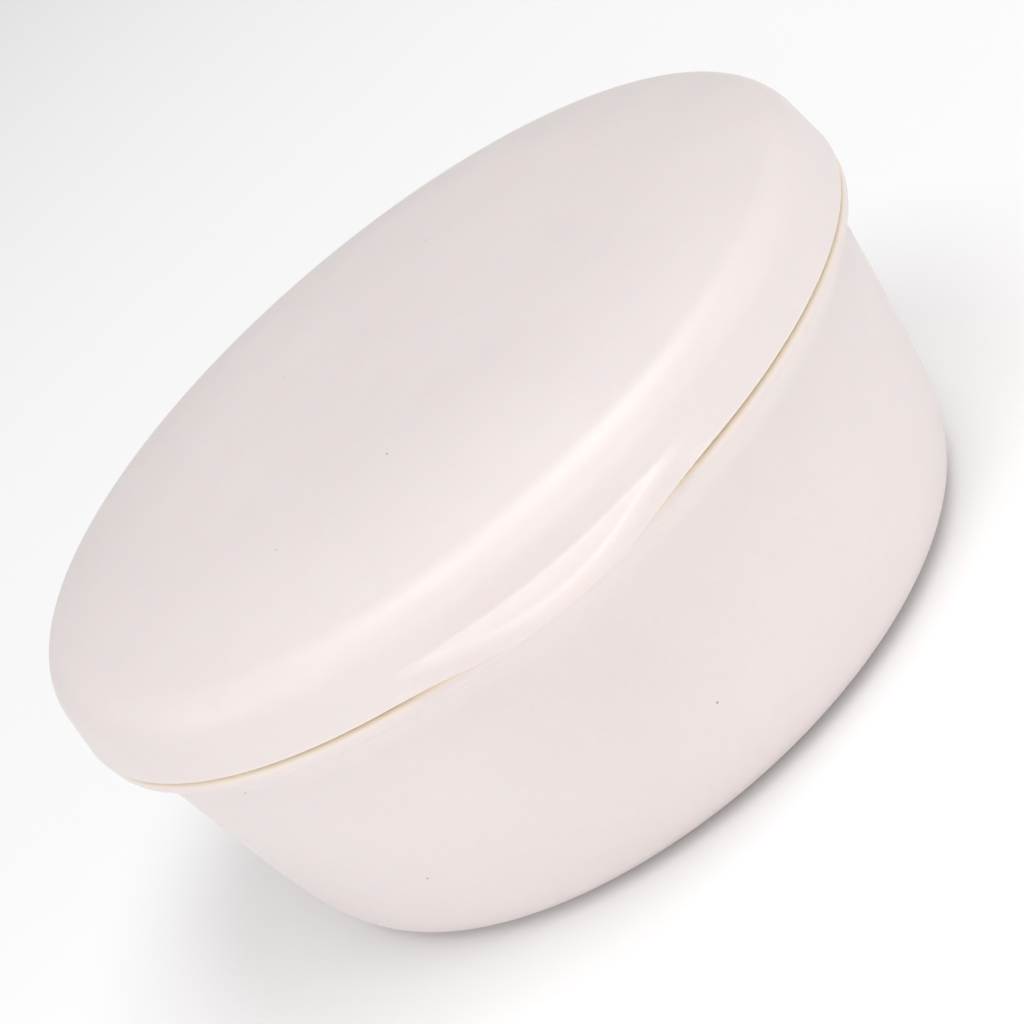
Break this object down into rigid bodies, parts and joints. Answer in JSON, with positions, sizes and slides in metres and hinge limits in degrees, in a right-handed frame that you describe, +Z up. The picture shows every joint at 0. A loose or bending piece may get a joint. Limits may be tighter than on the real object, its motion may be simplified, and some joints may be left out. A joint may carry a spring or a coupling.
{
  "type": "lidded shaving bowl",
  "caption": "Round moulded shaving bowl with a tapered wall, a flat foot and a domed lift-off lid with a thumb lip.",
  "frame": {"origin": "centre of the flat foot, on the surface that the bowl stands on", "axes": "+Z up along the round body's axis, -Y towards the thumb lip on the lid, +X to the right when the lip faces the viewer"},
  "size_m": [0.1, 0.1038, 0.0463],
  "materials": {
    "bowl_plastic": "glossy warm white moulded plastic",
    "lid_plastic": "glossy warm white moulded plastic"
  },
  "bodies": {
    "bowl": {"bowl": "bowl_plastic"},
    "lid": {"lid": "lid_plastic"}
  },
  "joints": [
    {"name": "lid_lift", "type": "slide", "parent": "bowl", "child": "lid", "axis": [0, 0, 1], "range_m": [0, 0.06]}
  ]
}
